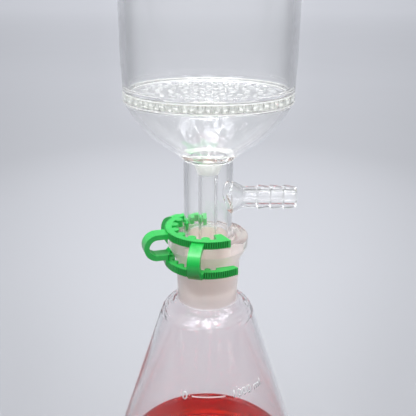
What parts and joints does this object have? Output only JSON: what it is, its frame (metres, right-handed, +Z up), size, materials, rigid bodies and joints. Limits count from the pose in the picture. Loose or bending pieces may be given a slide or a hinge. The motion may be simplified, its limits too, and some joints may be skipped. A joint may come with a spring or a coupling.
{
  "type": "vacuum filtration unit",
  "caption": "Glass filter funnel with a perforated plate and a side hose connector, held by a plastic joint clip in the ground neck of a conical flask that collects the filtrate.",
  "frame": {"origin": "centre of the flask's base, on the table", "axes": "+Z up along the common axis of flask and funnel, +X along the hose connector, -Y towards the viewer of the picture"},
  "size_m": [0.139, 0.139, 0.383],
  "materials": {
    "flask_glass": "clear fire-polished borosilicate glass, ground inside the socket",
    "red_filtrate": "clear red liquid",
    "funnel_glass": "clear fire-polished borosilicate glass, ground on the cone",
    "plate_glass": "clear borosilicate glass, drilled",
    "green_plastic": "satin moulded acetal"
  },
  "bodies": {
    "flask": {"flask": "flask_glass", "filtrate": "red_filtrate"},
    "funnel": {"bowl": "funnel_glass", "perforated_plate": "plate_glass", "bulb": "funnel_glass", "vacuum_jacket": "funnel_glass", "drip_tube": "funnel_glass", "hose_connector": "funnel_glass"},
    "clip": {"joint_clip": "green_plastic"}
  },
  "joints": [
    {"name": "funnel_turn", "type": "hinge", "parent": "flask", "child": "funnel", "pos_m": [0, 0, 0.1995], "axis": [0, 0, 1], "continuous": true},
    {"name": "clip_pull", "type": "slide", "parent": "flask", "child": "clip", "axis": [-0.9537, -0.3007, 0], "range_m": [0, 0.06]}
  ]
}
